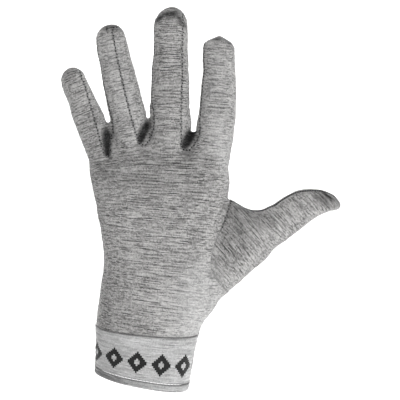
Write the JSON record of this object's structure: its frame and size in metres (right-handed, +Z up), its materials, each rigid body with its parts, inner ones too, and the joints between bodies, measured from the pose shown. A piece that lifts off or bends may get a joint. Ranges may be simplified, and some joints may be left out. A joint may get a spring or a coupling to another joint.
{
  "type": "glove liner",
  "caption": "Thin knitted glove liner for the left hand, shown as worn: hollow fingers with fourchettes between them, a set-in thumb and a doubled cuff, open at the wrist.",
  "frame": {"origin": "middle of the wrist opening, where the glove is held up by the wrist inside it", "axes": "+Z up along the fingers, +X towards the thumb's side, -Y out of the back of the hand"},
  "size_m": [0.1829, 0.0423, 0.2501],
  "materials": {
    "jersey": "heather grey fine jersey knit",
    "cuff_knit": "lighter grey doubled rib knit"
  },
  "bodies": {
    "root": {"back_panel": "jersey", "palm_panel": "jersey", "fourchette_little_ring": "jersey", "fourchette_ring_middle": "jersey", "fourchette_middle_index": "jersey", "thumb_back": "jersey", "thumb_palm": "jersey", "cuff_band": "cuff_knit", "cuff_hem": "cuff_knit"}
  },
  "joints": []
}
